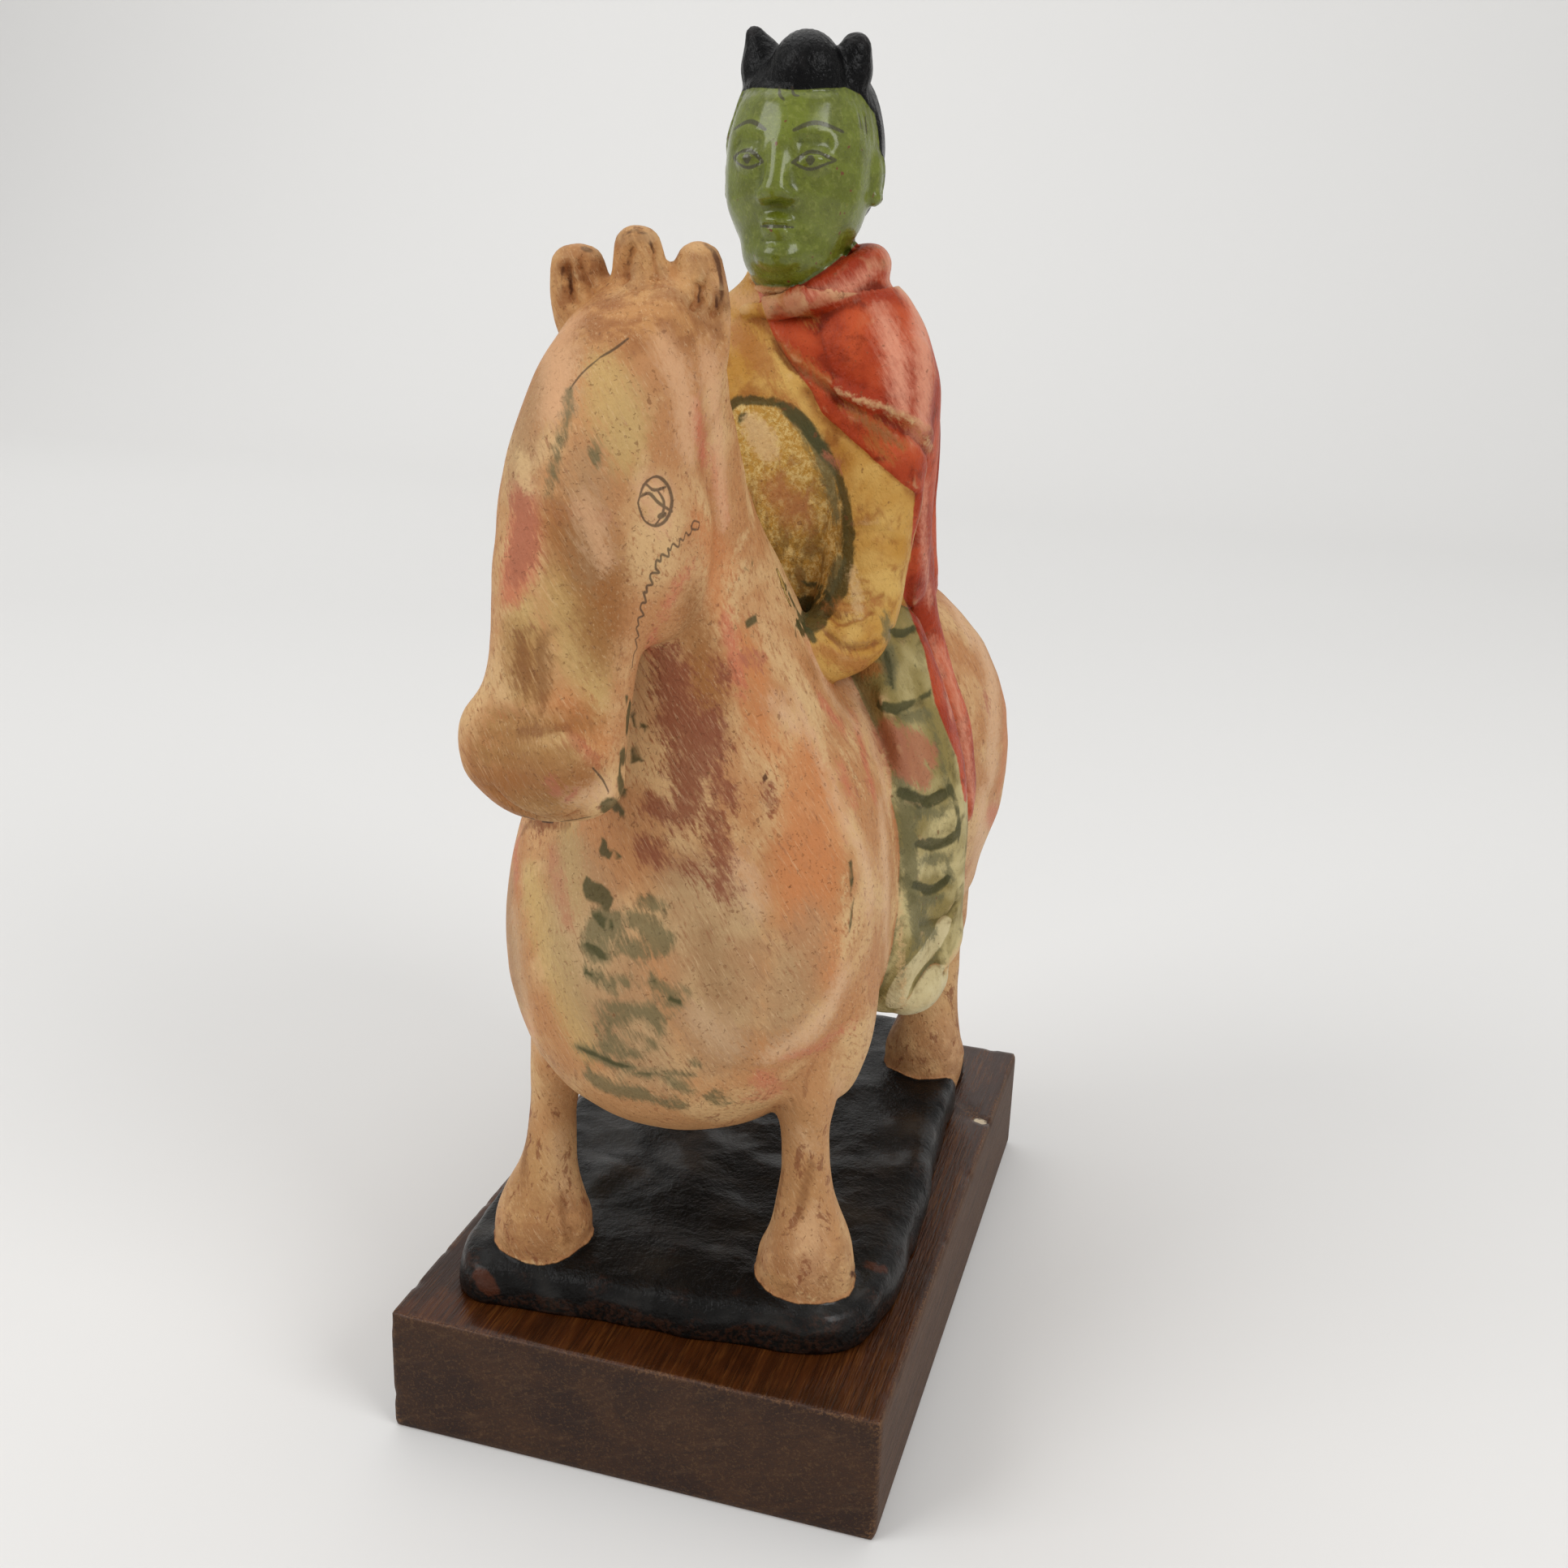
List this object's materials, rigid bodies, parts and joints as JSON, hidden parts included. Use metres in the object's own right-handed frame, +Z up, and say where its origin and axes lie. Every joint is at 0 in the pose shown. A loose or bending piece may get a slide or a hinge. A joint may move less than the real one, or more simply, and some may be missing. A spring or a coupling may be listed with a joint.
{
  "type": "horse and rider figure",
  "caption": "Painted figure of a rider in a mantle on a standing horse, cast in one with a thin slab, on a plain wooden plinth.",
  "frame": {"origin": "centre of the plinth's underside", "axes": "+Z up, the horse looks along -Y, +X is the horse's left side"},
  "size_m": [0.095, 0.1675, 0.2545],
  "materials": {
    "painted_ceramic": "satin",
    "stained_wood": "satin"
  },
  "bodies": {
    "root": {"horse_and_rider": "painted_ceramic", "wooden_plinth": "stained_wood"}
  },
  "joints": []
}
